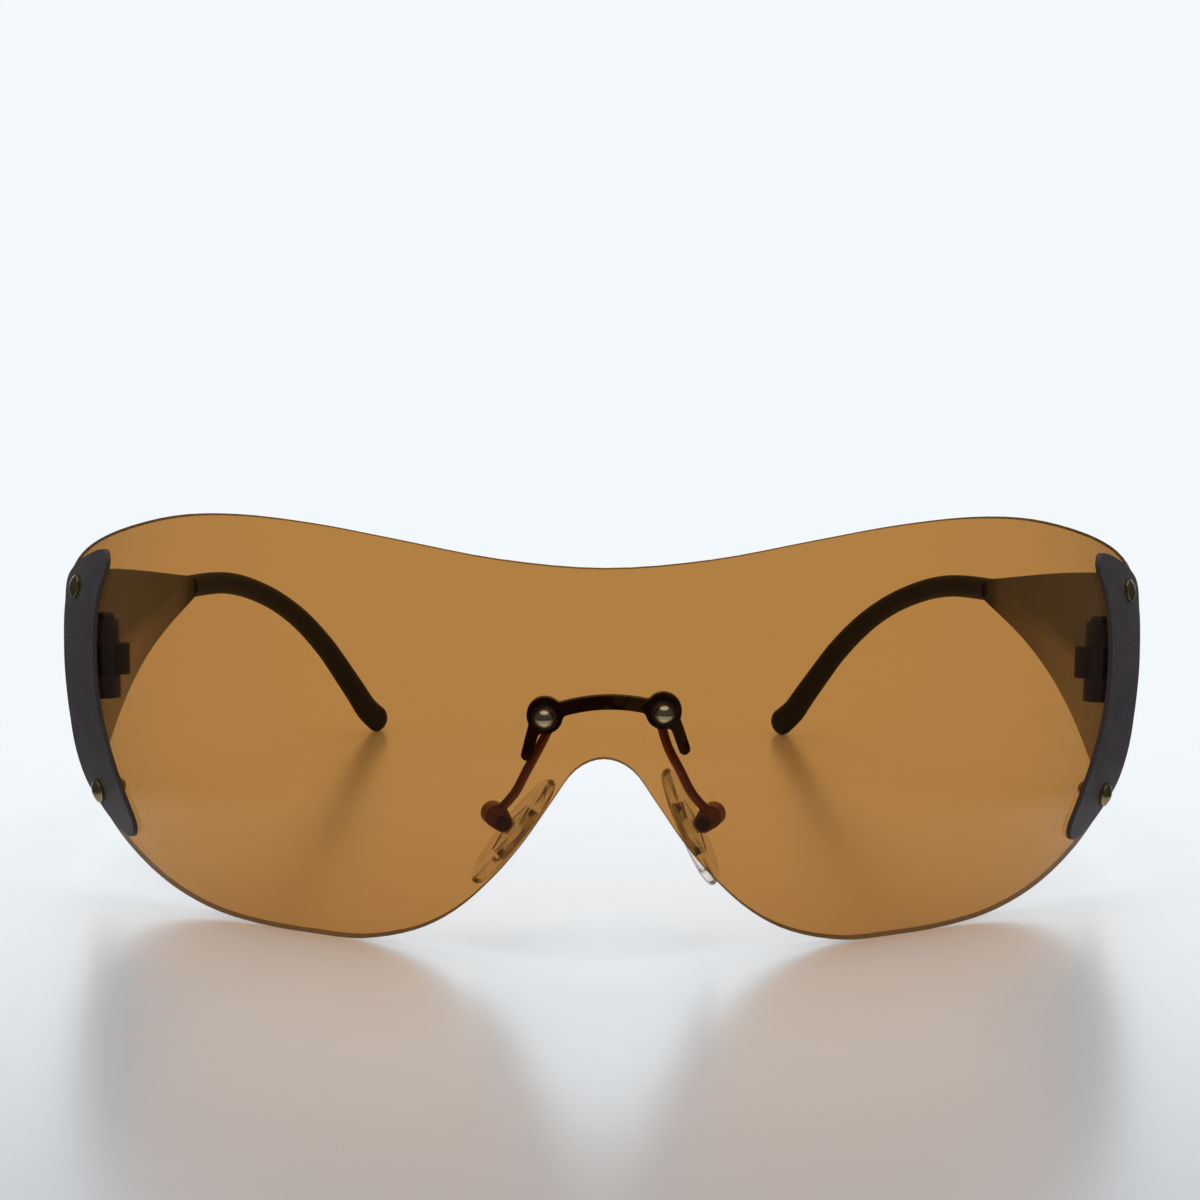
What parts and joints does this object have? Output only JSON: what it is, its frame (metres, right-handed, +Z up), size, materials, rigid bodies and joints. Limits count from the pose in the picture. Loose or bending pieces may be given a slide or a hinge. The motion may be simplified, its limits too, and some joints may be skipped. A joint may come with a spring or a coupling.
{
  "type": "shield sunglasses",
  "caption": "Wraparound shield sunglasses: one rimless amber lens, crescent side plates, hinged broad metal temples with dark tips, and a wire bridge with tilting nose pads.",
  "frame": {"origin": "centre of the box round the glasses, on the table they stand on", "axes": "+Z up, the lens faces -Y, the temples run to +Y, +X is on the right in the picture (the wearer's left)"},
  "size_m": [0.146, 0.1562, 0.0499],
  "materials": {
    "amber_lens": "clear tinted sheet, polished",
    "gunmetal": "satin dark plating",
    "pewter_metal": "satin warm grey plating",
    "brass_screws": "polished",
    "silver_screws": "polished",
    "charcoal_tips": "satin, dark",
    "clear_silicone": "clear, soft and smooth",
    "clear_plastic": "clear, smooth"
  },
  "bodies": {
    "front": {"shield_lens": "amber_lens", "bridge_bracket": "gunmetal", "bridge_screws": "gunmetal", "bridge_cap_nuts": "silver_screws", "bridge_bushings": "clear_plastic", "pad_arm_left": "gunmetal", "pad_arm_right": "gunmetal", "pad_screws": "silver_screws", "side_plate_left": "gunmetal", "side_plate_right": "gunmetal", "plate_screws_left": "brass_screws", "plate_screws_right": "brass_screws", "plate_washers_left": "brass_screws", "plate_washers_right": "brass_screws", "plate_nuts_left": "brass_screws", "plate_nuts_right": "brass_screws", "hinge_front_left": "gunmetal", "hinge_front_right": "gunmetal", "hinge_screw_left": "gunmetal", "hinge_screw_right": "gunmetal"},
    "temple_left": {"hinge_leaf_left": "gunmetal", "temple_left": "pewter_metal", "tip_sleeve_left": "charcoal_tips"},
    "temple_right": {"hinge_leaf_right": "gunmetal", "temple_right": "pewter_metal", "tip_sleeve_right": "charcoal_tips"},
    "pad_left": {"nose_pad_left": "clear_silicone", "pad_core_left": "clear_plastic"},
    "pad_right": {"nose_pad_right": "clear_silicone", "pad_core_right": "clear_plastic"}
  },
  "joints": [
    {"name": "temple_left_hinge", "type": "hinge", "parent": "front", "child": "temple_left", "pos_m": [-0.06567, -0.03546, 0.03], "axis": [0, 0, -1], "range_deg": [0, 84]},
    {"name": "temple_right_hinge", "type": "hinge", "parent": "front", "child": "temple_right", "pos_m": [0.06567, -0.03546, 0.03], "axis": [0, 0, 1], "range_deg": [-4.2, 72]},
    {"name": "pad_left_pivot", "type": "hinge", "parent": "front", "child": "pad_left", "pos_m": [-0.012, -0.06624, 0.0143], "axis": [-0.309, 0.9511, 0], "range_deg": [-20, 4]},
    {"name": "pad_right_pivot", "type": "hinge", "parent": "front", "child": "pad_right", "pos_m": [0.012, -0.06624, 0.0143], "axis": [0.309, 0.9511, 0], "range_deg": [-19, 5]}
  ]
}
